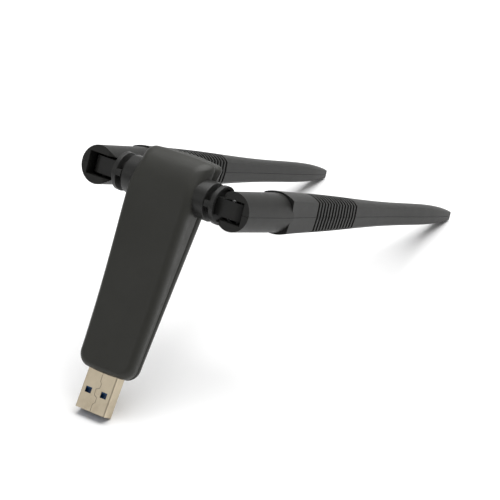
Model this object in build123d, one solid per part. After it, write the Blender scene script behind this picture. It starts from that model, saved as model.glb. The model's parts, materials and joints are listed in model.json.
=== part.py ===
from build123d import *
import os
from math import asin, atan2, cos, degrees, hypot, radians, sin

# A USB wifi adapter with two folding antennas, standing on its plug and both antenna noses.
# All lengths are in millimetres. The adapter's own parts are drawn upright in a bench frame: X across,
# -Y towards the front cover, Z up the body from the tip of the plug. The antenna parts are drawn in an
# antenna frame: Z along the antenna from its fold pin, X away from the body, -Y upwards.

# ---- driving dimensions ----
BODY_TILT = 36.9            # degrees that the body leans back from upright as it stands
CLEARANCE = 0.3             # gap between faces of bodies that move against each other
RUNNING_FIT = 0.05          # radial gap of a pin or journal in its bore

PLUG_WIDTH = 12.0
PLUG_DEPTH = 4.5
PLUG_LENGTH = 18.75
PLUG_SHEET = 0.3            # thickness of the plug's folded steel sheet
PLUG_CORNER = 0.5
WINDOW_X = 3.125            # latch windows of the plug, from its middle
WINDOW_Z = 6.43             # and from its tip
WINDOW_WIDTH = 2.4
WINDOW_HEIGHT = 2.0

BODY_BOTTOM = 13.0          # lowest point of the covers above the plug's tip
BODY_TOP = 89.9
BOTTOM_HALF_WIDTH = 10.8
TOP_HALF_WIDTH = 13.15
BOTTOM_CORNER = 4.6
TOP_CORNER = 2.4
END_CROWN = 0.8             # rise of the curved top and bottom edges
FRONT_DEPTH_BOTTOM = 3.7    # front face from the parting plane, at the plug end
FRONT_DEPTH_MIDDLE = 5.2
FRONT_DEPTH_TOP = 7.85
BACK_DEPTH_BOTTOM = 2.75
BACK_DEPTH_TOP = 4.75
MIDDLE_HEIGHT = 46.0        # height of the front face's middle, where its slope changes
BROW_START = 76.0           # height from which the front face rounds over into the top
BROW_RISE = 0.3             # rise of that rounding above the top edge, at the back face
FRONT_EDGE = 2.2            # edge rounding of the front cover
BACK_EDGE = 1.9
WALL = 1.0
SEAM_GAP = 0.05             # half the gap of the visible seam between two moulded halves

AXIS_HEIGHT = 76.8          # swivel axis above the plug's tip
BOSS_RADIUS = 6.5
BOSS_END = 16.6             # outer end of each swivel boss, from the middle
JOURNAL_RADIUS = 4.0
FLANGE_RADIUS = 5.2
FLANGE_INNER = 9.6
FLANGE_OUTER = 10.8
NECK_END = 18.85             # inner face of the swivel's ring
RING_END = 20.5
RING_DISH = 1.1             # depth of the hollow in the ring's outer face
KEY_WIDTH = 2.1             # little keys that bridge the groove between boss and ring
CABLE_RADIUS = 0.57
CABLE_BORE = 0.9

PIVOT_X = 27.3              # fold pin of each antenna, from the middle
TONGUE_HALF = 2.85           # half the thickness of the swivel's tongue, along the fold pin
TONGUE_RADIUS = 3.6
PIN_RADIUS = 1.0
PIN_HALF_LENGTH = 5.4
SLOT_HALF = 3.85            # half the height of the fork's slot
FORK_END = 5.4              # end face of the fork, behind the fold pin
FORK_SWING = 6.4            # radius about the fold pin that the fork's prongs keep within
BARREL_RADIUS = 6.5
BARREL_END = 21.6
BLADE_START = 20.4
ANTENNA_LENGTH = 137.0      # from the fold pin to the nose
ANTENNA_WALL = 1.4
GRIP_START = 38.0
GRIP_END = 64.0
GRIP_GROOVES = 14
GROOVE_WIDTH = 1.05
GROOVE_DEPTH = 0.75

BOARD_THICKNESS = 1.0
BOARD_FRONT = -0.2          # the board's front face, behind the parting plane's own side
BOARD_BOTTOM = 19.0
BOARD_TOP = 69.0
BOARD_HALF_WIDTH = 9.0

# Blade sections: distance from the pin, half width at the seam and at the edge, edge height, crown height.
BLADE_SECTIONS = [
    (BLADE_START, 6.45, 5.9, 5.5, 7.0),
    (40.0, 5.4, 5.1, 4.7, 6.4),
    (64.0, 4.6, 4.25, 3.65, 5.4),
    (100.0, 3.6, 3.35, 2.7, 3.95),
    (131.0, 2.75, 2.55, 1.95, 2.75),
    (ANTENNA_LENGTH, 2.0, 1.85, 1.45, 1.8),
]
NOSE_HEIGHT = BLADE_SECTIONS[-1][4]

# ---- where the bodies stand ----
PIVOT_HEIGHT = AXIS_HEIGHT * cos(radians(BODY_TILT)) + PLUG_DEPTH / 2 * sin(radians(BODY_TILT))
PIVOT_BACK = AXIS_HEIGHT * sin(radians(BODY_TILT)) - PLUG_DEPTH / 2 * cos(radians(BODY_TILT))
# The antennas droop until the lower edge of their noses touches the table.
DROOP = degrees(asin(PIVOT_HEIGHT / hypot(ANTENNA_LENGTH, NOSE_HEIGHT))
                - atan2(NOSE_HEIGHT, ANTENNA_LENGTH))
STAND = Rot(-BODY_TILT, 0, 0) * Pos(0, -PLUG_DEPTH / 2, 0)
ANTENNA_PLACE = Plane(
    origin=(PIVOT_X, PIVOT_BACK, PIVOT_HEIGHT),
    x_dir=(1, 0, 0),
    z_dir=(0, cos(radians(DROOP)), -sin(radians(DROOP))),
).location

nodes = {}


def add_bench(name, shape):
    """Keep a part drawn in the bench frame, leaned back as the adapter stands."""
    nodes[name] = STAND * shape


def add_pair(name, place, shape):
    """Keep a part of the right side and its mirror image on the left."""
    right = place * shape
    nodes["right_" + name] = right
    nodes["left_" + name] = mirror(right, about=Plane.YZ)


def box(low, high):
    """A box between two opposite corners."""
    size = [b - a for a, b in zip(low, high)]
    middle = [(a + b) / 2 for a, b in zip(low, high)]
    return Pos(*middle) * Box(*size)


def rod(radius, start, end):
    """A cylinder between two points on a line along X, Y or Z."""
    direction = Vector(*end) - Vector(*start)
    plane = Plane(origin=start, z_dir=direction)
    return extrude(plane * Circle(radius), amount=direction.length)


def cable(points, radius, bend):
    """A round cable along straight runs joined by tangent arcs."""
    path = FilletPolyline(*points, radius=bend)
    return sweep(Plane(origin=path @ 0, z_dir=path % 0) * Circle(radius), path)


# ---- covers ----
def body_solid(inset):
    """The body's outer form, or the same form drawn in by an even inset."""
    bottom = BODY_BOTTOM + END_CROWN
    top = BODY_TOP - END_CROWN
    outline = make_face(Wire([
        ThreePointArc((-BOTTOM_HALF_WIDTH, bottom), (0, BODY_BOTTOM), (BOTTOM_HALF_WIDTH, bottom)),
        Line((BOTTOM_HALF_WIDTH, bottom), (TOP_HALF_WIDTH, top)),
        ThreePointArc((TOP_HALF_WIDTH, top), (0, BODY_TOP), (-TOP_HALF_WIDTH, top)),
        Line((-TOP_HALF_WIDTH, top), (-BOTTOM_HALF_WIDTH, bottom)),
    ]))
    outline = fillet(outline.vertices().sort_by(Axis.Y)[:2], BOTTOM_CORNER)
    outline = fillet(outline.vertices().sort_by(Axis.Y)[-2:], TOP_CORNER)
    low = BODY_BOTTOM - 1
    high = BODY_TOP + BROW_RISE
    face = ThreePointArc((-FRONT_DEPTH_BOTTOM, low), (-FRONT_DEPTH_MIDDLE, MIDDLE_HEIGHT),
                         (-FRONT_DEPTH_TOP, BROW_START))
    brow = TangentArc(face @ 1, (BACK_DEPTH_TOP, high), tangent=face % 1)
    profile = make_face(Wire([
        face,
        brow,
        Line((BACK_DEPTH_TOP, high), (BACK_DEPTH_BOTTOM, low)),
        Line((BACK_DEPTH_BOTTOM, low), (-FRONT_DEPTH_BOTTOM, low)),
    ]))
    if inset:
        outline = offset(outline, amount=-inset)
        profile = offset(profile, amount=-inset)
    wide = extrude(Plane.XZ * outline, amount=20, both=True)
    tall = extrude(Plane.YZ * profile, amount=20, both=True)
    solid = wide & tall
    front = solid.edges().filter_by(lambda e: e.center().Y < -1.5)
    solid = fillet(front, max(FRONT_EDGE - inset, 0.5))
    back = solid.edges().filter_by(lambda e: e.center().Y > 2.0)
    return fillet(back, max(BACK_EDGE - inset, 0.5))


def both_sides(shape):
    """A part and its mirror image across the middle of the adapter."""
    return shape + mirror(shape, about=Plane.YZ)


def covers():
    """The front and back covers, parted in the plane of the swivel axis."""
    shell = body_solid(0) - body_solid(WALL)
    bosses = both_sides(rod(BOSS_RADIUS, (FLANGE_INNER - 1, 0, AXIS_HEIGHT), (BOSS_END, 0, AXIS_HEIGHT)))
    bosses = fillet(bosses.edges().filter_by(lambda e: abs(e.center().X) > BOSS_END - 0.1), 0.3)
    bore = both_sides(
        rod(JOURNAL_RADIUS + RUNNING_FIT, (FLANGE_OUTER, 0, AXIS_HEIGHT), (BOSS_END + 1, 0, AXIS_HEIGHT))
        + rod(FLANGE_RADIUS + CLEARANCE, (FLANGE_INNER - CLEARANCE, 0, AXIS_HEIGHT),
              (FLANGE_OUTER + CLEARANCE, 0, AXIS_HEIGHT))
        + rod(2.0, (FLANGE_INNER - 2, 0, AXIS_HEIGHT), (FLANGE_INNER, 0, AXIS_HEIGHT))
    )
    plug_seat = box((-PLUG_WIDTH / 2 - 1.2, -2.9, BODY_BOTTOM + 0.6), (PLUG_WIDTH / 2 + 1.2, 2.7, 18.4))
    plug_pocket = box((-PLUG_WIDTH / 2, -PLUG_DEPTH / 2, 0), (PLUG_WIDTH / 2, PLUG_DEPTH / 2, PLUG_LENGTH))
    whole = shell + (bosses & box((-30, -9, 60), (30, 9, 95))) + (plug_seat & body_solid(0))
    whole = whole - bore - plug_pocket
    for side in (-1, 1):
        for height in (24.0, 66.5):
            whole += rod(1.2, (side * 9.6, -9, height), (side * 9.6, 9, height)) & body_solid(0)
    front = whole & box((-30, -20, 0), (30, -SEAM_GAP, 100))
    back = whole & box((-30, SEAM_GAP, 0), (30, 20, 100))
    return front, back


# ---- plug ----
def plug_section(inset):
    """The plug's rounded rectangle, drawn in by an inset."""
    return RectangleRounded(PLUG_WIDTH - 2 * inset, PLUG_DEPTH - 2 * inset, PLUG_CORNER)


def plug_shell():
    """The folded steel sheet with its latch windows and its interlocking seam."""
    shell = extrude(plug_section(0), amount=PLUG_LENGTH)
    shell -= extrude(plug_section(PLUG_SHEET), amount=PLUG_LENGTH)
    for x in (-WINDOW_X, WINDOW_X):
        shell -= box((x - WINDOW_WIDTH / 2, -5, WINDOW_Z - WINDOW_HEIGHT / 2),
                     (x + WINDOW_WIDTH / 2, 5, WINDOW_Z + WINDOW_HEIGHT / 2))
    seam = Polyline(
        (0.2, -1), (0.2, 2.6), (1.0, 3.3), (0.9, 5.0), (-0.4, 5.6), (-0.4, 7.6), (0.9, 8.2), (0.9, 9.6),
        (0.2, 10.4), (0.2, PLUG_LENGTH + 1),
    )
    groove = Plane.XZ * trace(seam, line_width=0.12)
    return shell - extrude(groove, amount=PLUG_DEPTH, dir=(0, -1, 0))


def plug_inside():
    """The insulator, its four power and data contacts and its five high speed contacts."""
    front = -PLUG_DEPTH / 2 + PLUG_SHEET
    half = PLUG_WIDTH / 2 - PLUG_SHEET
    insulator = box((-half, front, 0.5), (half, front + 1.85, PLUG_LENGTH))
    insulator += box((-half, front, 12.0), (half, -front, PLUG_LENGTH))
    insulator &= extrude(plug_section(PLUG_SHEET), amount=PLUG_LENGTH)
    for x in (-WINDOW_X, WINDOW_X):
        insulator -= box((x - 1.5, front, WINDOW_Z - 1.6), (x + 1.5, front + 0.9, WINDOW_Z + 0.5))
    power = Part()
    for x, length in ((-3.5, 8.4), (-1.0, 7.4), (1.0, 7.4), (3.5, 8.4)):
        pad = box((x - 0.6, front + 1.65, 9.6 - length), (x + 0.6, front + 1.95, 9.6))
        insulator -= pad
        power += pad
    fast = Part()
    for x in (-4.0, -2.0, 0.0, 2.0, 4.0):
        pad = box((x - 0.4, front + 1.65, 10.2), (x + 0.4, front + 2.35, 11.9))
        insulator -= pad
        fast += pad
    return insulator, power, fast


# ---- electronics ----
def electronics():
    """The main board and what is soldered to it."""
    board = box((-BOARD_HALF_WIDTH, BOARD_FRONT, BOARD_BOTTOM),
                (BOARD_HALF_WIDTH, BOARD_FRONT + BOARD_THICKNESS, BOARD_TOP))
    for side in (-1, 1):
        for height in (24.0, 66.5):
            board -= rod(1.35, (side * 9.6, -9, height), (side * 9.6, 9, height))
    add_bench("main_board", board)

    def chip(low_x, low_z, width, length, height):
        return box((low_x, BOARD_FRONT - height, low_z), (low_x + width, BOARD_FRONT, low_z + length))

    can = chip(-7.5, 42.0, 15.0, 17.0, 2.0)
    can -= chip(-7.3, 42.2, 14.6, 16.6, 1.8)
    add_bench("shield_can", can)
    add_bench("wifi_chip", chip(-3.5, 47.0, 7.0, 7.0, 0.9))
    add_bench("front_end_chips", chip(-6.6, 55.2, 2.5, 2.5, 0.7) + chip(4.1, 55.2, 2.5, 2.5, 0.7))
    add_bench("crystal", chip(-6.6, 43.2, 2.5, 3.2, 0.7))
    add_bench("flash_chip", chip(-6.2, 32.0, 5.0, 6.0, 1.5))
    add_bench("power_inductor", fillet(chip(2.2, 33.0, 4.0, 4.0, 1.6).edges().filter_by(Axis.Y), 0.8))
    capacitors = Part()
    for x, z in ((-6.5, 27.5), (-3.8, 27.5), (-1.1, 27.5), (1.6, 27.5), (4.3, 27.5), (4.6, 39.0)):
        capacitors += chip(x, z, 1.6, 0.8, 0.8)
    add_bench("ceramic_capacitors", capacitors)
    sockets = Part()
    for x in (-5.0, 5.0):
        sockets += chip(x - 1.3, 62.2, 2.6, 2.6, 0.4)
        sockets += rod(1.0, (x, BOARD_FRONT - 0.4, 63.5), (x, BOARD_FRONT - 1.0, 63.5))
    add_bench("coax_sockets", sockets)


def body_coax():
    """The cable from the right socket up to the swivel."""
    y = BOARD_FRONT - 1.0 - CABLE_RADIUS
    cap = rod(1.3, (5.0, BOARD_FRONT - 1.0, 63.5), (5.0, y - CABLE_RADIUS - 0.2, 63.5))
    route = [(5.0, y, 63.5), (5.0, y, 70.0), (5.0, 0, AXIS_HEIGHT - 1.2), (5.6, 0, AXIS_HEIGHT),
             (FLANGE_INNER - 0.3, 0, AXIS_HEIGHT)]
    return cap + cable(route, CABLE_RADIUS, 0.8)


# ---- swivel ----
def swivel():
    """The turned part of the joint, drawn in the antenna frame: flange, journal, keyed ring and tongue."""
    def disc(radius, start, end):
        return rod(radius, (start - PIVOT_X, 0, 0), (end - PIVOT_X, 0, 0))

    body = disc(FLANGE_RADIUS, FLANGE_INNER, FLANGE_OUTER) + disc(JOURNAL_RADIUS, FLANGE_OUTER, NECK_END)
    ring = disc(BOSS_RADIUS, NECK_END, RING_END)
    ring = fillet(ring.edges().filter_by(GeomType.CIRCLE), 0.25)
    ring -= disc(BOSS_RADIUS - 0.95, RING_END - RING_DISH, RING_END)
    body += ring
    for side in (-1, 1):
        key = box((BOSS_END + CLEARANCE - PIVOT_X, -KEY_WIDTH / 2, side * BOSS_RADIUS - 1.3),
                  (NECK_END + 0.3 - PIVOT_X, KEY_WIDTH / 2, side * BOSS_RADIUS + 1.3))
        body += key & disc(BOSS_RADIUS - 0.05, BOSS_END, NECK_END + 1)
    tongue = box((NECK_END + 0.5 - PIVOT_X, -TONGUE_HALF, -TONGUE_RADIUS), (0, TONGUE_HALF, TONGUE_RADIUS))
    tongue += rod(TONGUE_RADIUS, (0, -TONGUE_HALF, 0), (0, TONGUE_HALF, 0))
    body += tongue
    body -= rod(PIN_RADIUS + RUNNING_FIT, (0, -TONGUE_HALF - 1, 0), (0, TONGUE_HALF + 1, 0))
    body -= disc(CABLE_BORE, FLANGE_INNER - 1, PIVOT_X - 2.2)
    return body


def swivel_coax():
    """The cable's stretch through the swivel."""
    return rod(CABLE_RADIUS, (FLANGE_INNER - PIVOT_X, 0, 0), (-2.4, 0, 0))


# ---- antenna ----
def blade_half(inset, start, end, side):
    """Half of the antenna blade, above (-1) or below (1) its seam, drawn in by an inset."""
    faces = []
    for z, seam_half, edge_half, edge_height, crown in BLADE_SECTIONS:
        if z < start or z > end:
            continue
        seam_x = seam_half - inset
        edge_x = edge_half - inset
        edge_y = side * (edge_height - inset)
        crown_y = side * (crown - inset)
        outline = Wire([
            Line((-seam_x, 0), (seam_x, 0)),
            Line((seam_x, 0), (edge_x, edge_y)),
            ThreePointArc((edge_x, edge_y), (0, crown_y), (-edge_x, edge_y)),
            Line((-edge_x, edge_y), (-seam_x, 0)),
        ])
        faces.append(Pos(0, 0, z) * make_face(outline))
    return loft(faces)


def antenna_shell(side):
    """One half of the antenna's plastic shell, with its barrel, fork prong and grip grooves."""
    half_space = box((-20, min(side * SEAM_GAP, side * 20), -20), (20, max(side * SEAM_GAP, side * 20), 200))
    barrel = rod(BARREL_RADIUS, (0, 0, -FORK_END), (0, 0, BARREL_END))
    blade = blade_half(0, BLADE_START, ANTENNA_LENGTH, side)
    core = blade_half(GROOVE_DEPTH, BLADE_START, ANTENNA_LENGTH, side)
    pitch = (GRIP_END - GRIP_START) / (GRIP_GROOVES - 1)
    grooves = Part()
    for index in range(GRIP_GROOVES):
        z = GRIP_START + index * pitch
        grooves += box((-10, -10, z - GROOVE_WIDTH / 2), (10, 10, z + GROOVE_WIDTH / 2))
    blade -= grooves - core
    shell = (barrel + blade) & half_space
    shell -= blade_half(ANTENNA_WALL, BLADE_START, 131.0, side)
    shell -= rod(2.2, (0, 0, 2), (0, 0, BLADE_START + 1))
    shell -= box((-BARREL_RADIUS - 1, -SLOT_HALF, -FORK_END - 1),
                 (TONGUE_RADIUS + CLEARANCE, SLOT_HALF, TONGUE_RADIUS + CLEARANCE))
    corner = box((-10, -10, -10), (0, 10, 0)) - rod(FORK_SWING, (0, -10, 0), (0, 10, 0))
    shell -= corner
    return shell - rod(PIN_RADIUS, (0, -PIN_HALF_LENGTH, 0), (0, PIN_HALF_LENGTH, 0))


def antenna_board():
    """The strip board that carries the dipole."""
    return box((-1.25, -0.4, 24.0), (1.25, 0.4, 118.0))


def dipole():
    """The two copper arms of the dipole, on the upper face of the strip board."""
    arms = box((-1.0, -0.5, 36.0), (1.0, -0.4, 73.0))
    return arms + box((-1.0, -0.5, 75.0), (1.0, -0.4, 112.0))


def feed_coax():
    """The cable from the fold pin to the middle of the dipole, under the strip board."""
    route = [(0, 0.4 + CABLE_RADIUS, 4.6), (0, 0.4 + CABLE_RADIUS, 74.0)]
    return rod(CABLE_RADIUS, route[0], route[1])


front_cover, back_cover = covers()
add_bench("front_cover", front_cover)
add_bench("back_cover", back_cover)
add_bench("usb_shell", plug_shell())
insulator, power_contacts, fast_contacts = plug_inside()
add_bench("usb_insulator", insulator)
add_bench("usb_power_contacts", power_contacts)
add_bench("usb_fast_contacts", fast_contacts)
electronics()
add_pair("body_coax", STAND, body_coax())
add_pair("swivel", ANTENNA_PLACE, swivel())
add_pair("swivel_coax", ANTENNA_PLACE, swivel_coax())
add_pair("hinge_pin", ANTENNA_PLACE, rod(PIN_RADIUS, (0, -PIN_HALF_LENGTH, 0), (0, PIN_HALF_LENGTH, 0)))
add_pair("antenna_upper_shell", ANTENNA_PLACE, antenna_shell(-1))
add_pair("antenna_lower_shell", ANTENNA_PLACE, antenna_shell(1))
add_pair("antenna_board", ANTENNA_PLACE, antenna_board())
add_pair("dipole", ANTENNA_PLACE, dipole())
add_pair("feed_coax", ANTENNA_PLACE, feed_coax())

# ---- origin at the middle of the footprint, on the table ----
whole = Compound(children=[Compound(shape.solids()) for shape in nodes.values()]).bounding_box()
HOME = Pos(-whole.center().X, -whole.center().Y, -whole.min.Z)

os.makedirs("parts", exist_ok=True)
for name, shape in nodes.items():
    export_step(HOME * Compound(shape.solids()), f"parts/{name}.step")
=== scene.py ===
import json
import math

import bmesh
import bpy
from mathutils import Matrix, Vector


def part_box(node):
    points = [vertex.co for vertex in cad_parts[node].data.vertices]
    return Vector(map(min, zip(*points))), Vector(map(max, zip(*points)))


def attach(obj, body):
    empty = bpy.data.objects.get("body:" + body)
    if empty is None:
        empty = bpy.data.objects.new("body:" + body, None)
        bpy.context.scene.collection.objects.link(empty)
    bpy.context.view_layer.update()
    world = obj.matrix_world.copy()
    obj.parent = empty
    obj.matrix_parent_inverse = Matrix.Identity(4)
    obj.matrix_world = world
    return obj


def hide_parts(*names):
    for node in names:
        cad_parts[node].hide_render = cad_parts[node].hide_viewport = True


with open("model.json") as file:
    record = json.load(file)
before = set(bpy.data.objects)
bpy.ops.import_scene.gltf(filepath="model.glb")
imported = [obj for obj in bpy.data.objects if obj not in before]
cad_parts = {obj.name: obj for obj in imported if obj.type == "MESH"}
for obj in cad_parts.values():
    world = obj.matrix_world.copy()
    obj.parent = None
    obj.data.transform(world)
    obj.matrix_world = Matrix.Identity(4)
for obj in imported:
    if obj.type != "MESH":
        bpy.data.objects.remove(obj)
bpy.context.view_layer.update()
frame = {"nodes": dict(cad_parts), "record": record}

# A USB wifi adapter standing on its plug and the noses of its two folded antennas.
# Metres throughout, in the frame of the CAD model: +X across, +Y towards the noses, +Z up.

nodes = frame["nodes"]
scene = bpy.context.scene

# ---- sizes of the adapter's body, in millimetres, as in the CAD model ----
BODY_TILT = math.radians(36.9)      # how far the body leans back from upright
PLUG_DEPTH = 4.5
BODY_BOTTOM = 13.0
BODY_TOP = 89.9
BOTTOM_HALF_WIDTH = 10.8
TOP_HALF_WIDTH = 13.15
AXIS_HEIGHT = 76.8                  # swivel axis above the plug's tip
PIVOT_X = 27.3                      # fold pins, from the middle
BOSS_RADIUS = 6.5
BOSS_END = 16.6                     # outer end of each swivel boss, from the middle

# ---- sizes of the covers' skins and boss halves, in millimetres ----
BOSS_START = 8.0                    # the boss begins inside the cover
BOSS_FILLET = 0.35
BORE_RADIUS = 4.05
BORE_CHAMFER = 0.2
COVER_WALL = 1.0
SEAM_GAP = 0.11                     # half the visible gap between the covers
RIM_FLANK = 1.5 * SEAM_GAP          # where the rounded edge begins, out from the parting plane
BOTTOM_CORNER = 4.6
BOTTOM_BOW = 0.3                    # the bottom edge rises by this towards its corners
PARTING_TOP = 88.60                 # the parting line is lower at the top than the back cover
PARTING_SIDE_END = 86.0
PARTING_CORNER = 2.6
BACK_RISE = 0.5                     # the top face climbs this much from the parting line to the back
BACK_SIDE_END = 86.7
BACK_CORNER = 2.1
CORNER_SWEEP = 80                   # degrees that a top corner turns before the bowed top edge takes over
CORNER_SQUASH = 0.85                # a top corner is this much lower than it is wide
FACE_LOW = 3.59                     # the front face stands out this far at the bottom, swelling to
FACE_HIGH = 7.85                    # this at FACE_END
FACE_END = 79.0
FACE_LIFT = 0.3                     # what is left of the front's depth at the very top
BROW_START = 74.0                   # from here up the front face rounds over into the top
BROW_REACH = 0.05                   # the brow would close this far above the parting line
BACK_LOW = 2.75                     # depth of the back cover at the bottom
BACK_SWELL = 2.0                    # and what it gains by the top
FRONT_EDGE = 2.3                    # reach of the front's soft edge over its face
FRONT_EDGE_GAIN = 2.6               # and what that gains towards the brow
BACK_EDGE = 2.1
BACK_EDGE_LOSS = 1.4
SPINE_LOW = 24.0                    # the rings of a skin shrink onto a line between these heights
SPINE_HIGH = 76.0
EDGE_RINGS = 14                     # rings round the soft edge
FACE_RINGS = 30                     # rings from the edge in to the middle
FACE_SPACING = 1.9                  # above 1 the rings stand closer together near the edge

# ---- camera: the photograph's viewing angle ----
CAMERA_PLACE = (0.43987, -0.58120, 0.46553)
CAMERA_TURN = (58.564, 1.307, 36.197)
LENS = 180.0
SENSOR = 36.0


def make_camera():
    data = bpy.data.cameras.new("camera")
    data.lens = LENS
    data.sensor_width = SENSOR
    data.clip_start = 0.01
    data.clip_end = 20.0
    camera = bpy.data.objects.new("camera", data)
    camera.location = CAMERA_PLACE
    camera.rotation_euler = [math.radians(a) for a in CAMERA_TURN]
    scene.collection.objects.link(camera)
    scene.camera = camera


# ---- floor and light ----
def make_floor():
    """A plain pale floor, wide enough for every view."""
    size = 6.0      # half its side, in metres
    mesh = bpy.data.meshes.new("floor")
    corners = [(-size, -size, 0), (size, -size, 0), (size, size, 0), (-size, size, 0)]
    mesh.from_pydata(corners, [], [(0, 1, 2, 3)])
    floor = bpy.data.objects.new("floor", mesh)
    scene.collection.objects.link(floor)
    material, shader, _ = new_material("floor_white")
    shader.inputs["Base Color"].default_value = (0.97, 0.97, 0.97, 1)
    shader.inputs["Roughness"].default_value = 0.9
    shader.inputs["Specular IOR Level"].default_value = 0.0
    mesh.materials.append(material)


def area_light(name, place, target, size, power):
    """A soft box at a place, facing a target."""
    data = bpy.data.lights.new(name, "AREA")
    data.shape = "RECTANGLE"
    data.size, data.size_y = size
    data.energy = power
    light = bpy.data.objects.new(name, data)
    light.location = place
    light.rotation_euler = (Vector(target) - Vector(place)).to_track_quat("-Z", "Y").to_euler()
    scene.collection.objects.link(light)


def make_lights():
    """A pale sky, a large key light from above and behind, and two weak fills."""
    world = bpy.data.worlds.new("studio")
    scene.world = world
    world.use_nodes = True
    background = world.node_tree.nodes["Background"]
    background.inputs["Color"].default_value = (1, 1, 1, 1)
    background.inputs["Strength"].default_value = 0.34
    middle = (0, -0.02, 0.03)
    area_light("key", (0.10, 0.50, 1.0), middle, (1.5, 1.2), 21.0)
    area_light("top", (-0.30, -0.05, 1.0), middle, (0.5, 0.4), 0.8)
    area_light("front", (-0.50, -0.75, 0.55), middle, (0.55, 0.45), 0.55)
    scene.view_settings.view_transform = "Standard"
    scene.view_settings.look = "None"


# ---- procedural materials ----
def new_material(name):
    material = bpy.data.materials.new(name)
    material.use_nodes = True
    tree = material.node_tree
    return material, tree.nodes["Principled BSDF"], tree


def link(tree, a, a_socket, b, b_socket):
    tree.links.new(a.outputs[a_socket], b.inputs[b_socket])


def noise(tree, scale, detail, stretch=(1, 1, 1), roughness=0.55):
    """Noise over the object's own coordinates, so that it stays put on a part that moves."""
    place = tree.nodes.new("ShaderNodeTexCoord")
    mapping = tree.nodes.new("ShaderNodeMapping")
    mapping.inputs["Scale"].default_value = stretch
    texture = tree.nodes.new("ShaderNodeTexNoise")
    texture.inputs["Scale"].default_value = scale
    texture.inputs["Detail"].default_value = detail
    texture.inputs["Roughness"].default_value = roughness
    link(tree, place, "Object", mapping, "Vector")
    link(tree, mapping, "Vector", texture, "Vector")
    return texture


def ramp(tree, source, stops):
    """A colour ramp over a noise factor: stops are (position, colour)."""
    node = tree.nodes.new("ShaderNodeValToRGB")
    elements = node.color_ramp.elements
    elements[0].position, elements[0].color = stops[0][0], (*stops[0][1], 1)
    elements[1].position, elements[1].color = stops[-1][0], (*stops[-1][1], 1)
    for position, colour in stops[1:-1]:
        elements.new(position).color = (*colour, 1)
    link(tree, source, "Fac", node, "Fac")
    return node


def spread(tree, source, low, high, low_out, high_out):
    """Maps a noise factor onto a range of values."""
    node = tree.nodes.new("ShaderNodeMapRange")
    node.inputs["From Min"].default_value = low
    node.inputs["From Max"].default_value = high
    node.inputs["To Min"].default_value = low_out
    node.inputs["To Max"].default_value = high_out
    link(tree, source, "Fac", node, "Value")
    return node


def bump(tree, shader, source, distance, strength, previous=None):
    """Bumps a shader by a noise factor, on top of an earlier bump."""
    node = tree.nodes.new("ShaderNodeBump")
    node.inputs["Strength"].default_value = strength
    node.inputs["Distance"].default_value = distance
    link(tree, source, "Fac", node, "Height")
    if previous:
        link(tree, previous, "Normal", node, "Normal")
    link(tree, node, "Normal", shader, "Normal")
    return node


def plastic(name, dark, light, rough_low, rough_high, grain, grain_depth):
    """Moulded plastic: a fine spark-eroded grain, cloudy colour and roughness, and faint handling marks."""
    material, shader, tree = new_material(name)
    clouds = noise(tree, CLOUDS, 4.0)
    colour = ramp(tree, clouds, [(0.32, dark), (0.68, light)])
    link(tree, colour, "Color", shader, "Base Color")
    marks = noise(tree, HANDLING_MARKS, 5.0, roughness=0.65)
    rough = spread(tree, marks, *NOISE_SPAN, rough_low, rough_high)
    link(tree, rough, "Result", shader, "Roughness")
    fine = noise(tree, grain, 2.0)
    coarse = noise(tree, COARSE_GRAIN, 2.0)
    first = bump(tree, shader, fine, grain_depth, 0.55)
    bump(tree, shader, coarse, 0.00002, 0.12, first)
    shader.inputs["Specular IOR Level"].default_value = 0.3
    return material


def metal(name, dark, light, rough_low, rough_high, brushed):
    """Plated sheet or drawn wire: brushed lines, cloudy smudges and a slightly uneven surface."""
    material, shader, tree = new_material(name)
    shader.inputs["Metallic"].default_value = 1.0
    smudge = noise(tree, SMUDGES, 6.0, (1.0, 0.7, 1.0), 0.62)
    bright = [c * 1.06 for c in light]
    colour = ramp(tree, smudge, [(0.36, dark), (0.5, light), (0.66, bright)])
    link(tree, colour, "Color", shader, "Base Color")
    lines = noise(tree, brushed, 3.0, (1.0, 0.06, 0.06), 0.5)
    rough = spread(tree, lines, *NOISE_SPAN, rough_low, rough_high)
    link(tree, rough, "Result", shader, "Roughness")
    first = bump(tree, shader, lines, 0.000003, 0.3)
    waves = noise(tree, WAVES, 2.0)
    bump(tree, shader, waves, 0.00012, 0.25, first)
    return material


def printed_board(name):
    """Green solder mask with faint copper tracks under it."""
    material, shader, tree = new_material(name)
    place = tree.nodes.new("ShaderNodeTexCoord")
    tracks = tree.nodes.new("ShaderNodeTexBrick")
    tracks.inputs["Scale"].default_value = TRACKS
    tracks.inputs["Color1"].default_value = (0.012, 0.10, 0.035, 1)
    tracks.inputs["Color2"].default_value = (0.015, 0.12, 0.045, 1)
    tracks.inputs["Mortar"].default_value = (0.03, 0.19, 0.07, 1)
    link(tree, place, "Object", tracks, "Vector")
    link(tree, tracks, "Color", shader, "Base Color")
    clouds = noise(tree, 500.0, 3.0)
    link(tree, spread(tree, clouds, *NOISE_SPAN, 0.25, 0.4), "Result", shader, "Roughness")
    bump(tree, shader, clouds, 0.00002, 0.4)
    return material


# Noise scales, in waves per metre.
CLOUDS = 55.0
HANDLING_MARKS = 260.0
COARSE_GRAIN = 420.0
SMUDGES = 170.0
WAVES = 90.0
TRACKS = 300.0
NOISE_SPAN = (0.3, 0.7)             # most of a noise factor lies between these

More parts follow.
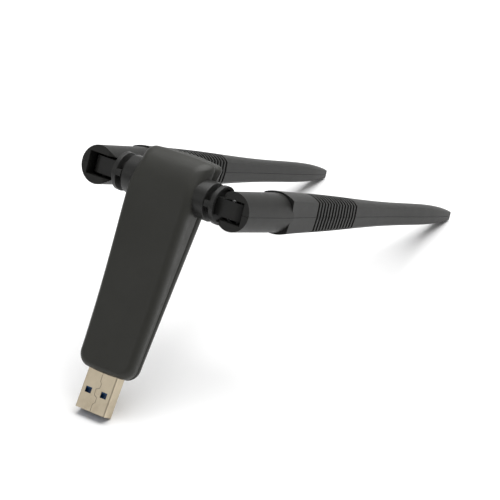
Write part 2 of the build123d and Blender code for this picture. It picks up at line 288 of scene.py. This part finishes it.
# Each plastic: dark and light colour, lowest and highest roughness, the grain's scale and depth in metres.
PLASTICS = {
    "cover_plastic": ((0.0265, 0.0265, 0.0225), (0.031, 0.031, 0.027), 0.40, 0.52, 2600.0, 0.00003),
    "joint_plastic": ((0.017, 0.017, 0.016), (0.022, 0.022, 0.021), 0.32, 0.42, 4200.0, 0.00001),
    "antenna_plastic": ((0.0122, 0.0122, 0.0110), (0.0134, 0.0134, 0.0121), 0.47, 0.52, 4200.0, 0.00002),
    "blue_insulator": ((0.004, 0.038, 0.12), (0.006, 0.06, 0.18), 0.30, 0.42, 3000.0, 0.00001),
    "chip_black": ((0.012, 0.012, 0.013), (0.018, 0.018, 0.019), 0.5, 0.62, 4200.0, 0.00001),
    "ceramic": ((0.36, 0.25, 0.15), (0.46, 0.34, 0.21), 0.45, 0.6, 3600.0, 0.00001),
    "cable_jacket": ((0.016, 0.016, 0.016), (0.022, 0.022, 0.022), 0.35, 0.5, 3000.0, 0.00001),
}
# Each metal: dark and light colour, lowest and highest roughness, scale of the brushed lines.
METALS = {
    "plug_steel": ((0.51, 0.43, 0.31), (0.59, 0.51, 0.38), 0.28, 0.36, 5200.0),
    "contact_gold": ((0.72, 0.50, 0.18), (0.86, 0.62, 0.25), 0.2, 0.32, 5200.0),
    "can_steel": ((0.52, 0.52, 0.52), (0.66, 0.66, 0.65), 0.3, 0.42, 3600.0),
    "pin_steel": ((0.03, 0.03, 0.03), (0.05, 0.05, 0.05), 0.4, 0.5, 5200.0),
    "copper": ((0.55, 0.26, 0.14), (0.72, 0.36, 0.2), 0.26, 0.4, 5200.0),
}
MATERIALS = {name: plastic(name, *values) for name, values in PLASTICS.items()}
MATERIALS.update({name: metal(name, *values) for name, values in METALS.items()})
MATERIALS["board_green"] = printed_board("board_green")


# ---- covers: each a skin of rings from the parting outline in to the middle of its face ----
def find_home():
    """Where the tip of the plug's back edge stands in the row frame, found from a fold pin."""
    low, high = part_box("right_hinge_pin")
    c, s = math.cos(BODY_TILT), math.sin(BODY_TILT)
    half = PLUG_DEPTH / 2
    pivot = Vector((PIVOT_X, AXIS_HEIGHT * s - half * c, AXIS_HEIGHT * c + half * s)) / 1000
    return (low + high) / 2 - pivot


HOME = find_home()


def to_row(across, back, up):
    """From the body's own frame in millimetres (across, out of the back, up from the plug's tip) to the row
    frame in metres."""
    back -= PLUG_DEPTH / 2
    c, s = math.cos(BODY_TILT), math.sin(BODY_TILT)
    return Vector((across, back * c + up * s, up * c - back * s)) / 1000 + HOME


def smooth(low, high, x):
    """0 below low, 1 above high, and an S curve between."""
    t = min(max((x - low) / (high - low), 0.0), 1.0)
    return t * t * (3 - 2 * t)


def shares(count):
    """Even steps from just above 0 up to 1."""
    return [i / count for i in range(1, count + 1)]


def half_width(up):
    share = (up - BODY_BOTTOM) / (BODY_TOP - BODY_BOTTOM)
    return BOTTOM_HALF_WIDTH + (TOP_HALF_WIDTH - BOTTOM_HALF_WIDTH) * share


def outline(top, side_end, top_corner):
    """The covers' outline, right half then left, from the middle of the bottom up to top and back down."""
    flat = half_width(BODY_BOTTOM + BOTTOM_CORNER) - BOTTOM_CORNER
    side_start = BODY_BOTTOM + BOTTOM_BOW + BOTTOM_CORNER
    right = [(0.0, BODY_BOTTOM)]
    right += [(flat * t, BODY_BOTTOM + BOTTOM_BOW * t ** 2) for t in shares(8)]
    for t in shares(16):
        a = math.radians(90 * t - 90)
        right.append((flat + BOTTOM_CORNER * math.cos(a), side_start + BOTTOM_CORNER * math.sin(a)))
    for t in shares(48):
        up = side_start + (side_end - side_start) * t
        right.append((half_width(up), up))
    corner_x = half_width(side_end) - top_corner
    for t in shares(10):
        a = math.radians(CORNER_SWEEP * t)
        rise = top_corner * CORNER_SQUASH * math.sin(a)
        right.append((corner_x + top_corner * math.cos(a), side_end + rise))
    edge_x, edge_up = right[-1]
    right += [(edge_x * (1 - t), top - (top - edge_up) * (1 - t) ** 2) for t in shares(16)]
    return right + [(-x, up) for x, up in right[-2:0:-1]]


def front_depth(up):
    """How far the front face stands out from the parting plane, with the brow that rounds into the top."""
    t = (min(up, FACE_END) - BODY_BOTTOM) / (FACE_END - BODY_BOTTOM)
    face = FACE_LOW + (FACE_HIGH - FACE_LOW) * (0.25 * t + 0.75 * smooth(0.0, 1.0, t ** 1.5))
    rise = max(up - BROW_START, 0.0) / (PARTING_TOP + BROW_REACH - BROW_START)
    return face * math.sqrt(max(1 - rise ** 1.85, 0.0)) + FACE_LIFT


def back_depth(up):
    return BACK_LOW + BACK_SWELL * (up - BODY_BOTTOM) / (BODY_TOP - BODY_BOTTOM)


def front_run(up):
    """How far the front's soft edge reaches in over the face: more beside the brow."""
    return FRONT_EDGE + FRONT_EDGE_GAIN * smooth(70.0, 86.0, up)


def back_run(up):
    """How far the back's soft edge reaches in: little along the top."""
    return BACK_EDGE - BACK_EDGE_LOSS * smooth(84.0, 88.5, up)


def skin_rings(side):
    """Rings of points over one cover, from the rim at the seam to the middle of its face: side is -1 for the
    front, which rounds far over at its top, and 1 for the back."""
    parting = outline(PARTING_TOP, PARTING_SIDE_END, PARTING_CORNER)
    if side < 0:
        loop, depth, edge_run = parting, front_depth, front_run
    else:
        loop = outline(PARTING_TOP + BACK_RISE, BACK_SIDE_END, BACK_CORNER)
        depth, edge_run = back_depth, back_run
    rings = [[to_row(x, side * SEAM_GAP, up) for x, up in parting]]
    for ring in range(EDGE_RINGS + FACE_RINGS + 1):
        a = math.pi / 2 * min(ring / EDGE_RINGS, 1.0)
        across_face = max(ring - EDGE_RINGS, 0) / FACE_RINGS
        points = []
        for x, up in loop:
            spine = min(max(up, SPINE_LOW), SPINE_HIGH)
            reach = math.hypot(x, spine - up)
            run = edge_run(up)
            drop = (run ** -4 + (depth(up) - RIM_FLANK) ** -4) ** -0.25     # the smaller of the two, smoothly
            inward = run * (1 - math.cos(a)) + (reach - run) * across_face ** FACE_SPACING
            share = inward / reach
            point_up = up + (spine - up) * share
            out = depth(point_up) - drop * (1 - math.sin(a))
            points.append(to_row(x * (1 - share), side * out, point_up))
        rings.append(points)
    return rings


def ring_faces(rings):
    """Four-sided faces between each closed ring of points and the next."""
    count = len(rings[0])
    faces = []
    for start in range(0, count * (len(rings) - 1), count):
        for i in range(count):
            j = (i + 1) % count
            faces.append([start + i, start + j, start + count + j, start + count + i])
    return faces


def new_piece(name, rings, faces, flip):
    """A smooth mesh object from rings of points."""
    if flip:
        faces = [face[::-1] for face in faces]
    mesh = bpy.data.meshes.new(name)
    mesh.from_pydata([p for ring in rings for p in ring], [], faces)
    mesh.shade_smooth()
    piece = bpy.data.objects.new(name, mesh)
    scene.collection.objects.link(piece)
    return piece


def cover(word, side):
    """A cover's skin with its wall, its innermost points joined along the spine."""
    rings = skin_rings(side)
    piece = new_piece(word + "_cover_skin", rings, ring_faces(rings), side > 0)
    work = bmesh.new()
    work.from_mesh(piece.data)
    bmesh.ops.remove_doubles(work, verts=work.verts, dist=0.000005)
    work.to_mesh(piece.data)
    work.free()
    piece.data.shade_smooth()
    wall = piece.modifiers.new("wall", "SOLIDIFY")
    wall.thickness = COVER_WALL / 1000
    wall.offset = -1.0
    return piece


def boss(name, x_side, side):
    """Half of a swivel boss, turned about the swivel axis: x_side is 1 on the right, side as for a cover."""
    centre_x, centre_radius = BOSS_END - BOSS_FILLET, BOSS_RADIUS - BOSS_FILLET
    profile = [(BOSS_START, BOSS_RADIUS)]
    for t in [0.0] + shares(6):
        a = math.pi / 2 * t
        profile.append((centre_x + BOSS_FILLET * math.sin(a), centre_radius + BOSS_FILLET * math.cos(a)))
    profile += [(BOSS_END, BORE_RADIUS + BORE_CHAMFER), (BOSS_END - BORE_CHAMFER, BORE_RADIUS),
                (BOSS_START, BORE_RADIUS)]
    gap = math.asin(SEAM_GAP / BOSS_RADIUS)
    rings = []
    for t in [0.0] + shares(48):
        a = gap + (math.pi - 2 * gap) * t
        rings.append([to_row(x_side * x, side * radius * math.sin(a), AXIS_HEIGHT + radius * math.cos(a))
                      for x, radius in profile])
    first_end = list(range(len(profile)))[::-1]
    last_start = len(profile) * (len(rings) - 1)
    last_end = [last_start + i for i in range(len(profile))]
    piece = new_piece(name, rings, ring_faces(rings) + [first_end, last_end], x_side * side > 0)
    piece.data.set_sharp_from_angle(angle=math.radians(40))
    return piece


def dress(piece, node, slot):
    """Gives a piece its material, and lets it ride on the body in place of a CAD node."""
    piece.data.materials.append(MATERIALS[slot])
    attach(piece, "adapter_body")
    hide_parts(node)


make_camera()
make_floor()
make_lights()

for word, side in (("front", -1), ("back", 1)):
    dress(cover(word, side), word + "_cover", "cover_plastic")
    for hand, x_side in (("right", 1), ("left", -1)):
        dress(boss(f"{hand}_{word}_boss", x_side, side), word + "_cover", "joint_plastic")

for part in frame["record"]["subparts"]:
    node = nodes[part["node"]]
    for material_slot in node.material_slots:
        material_slot.material = MATERIALS[part["material_slot"]]
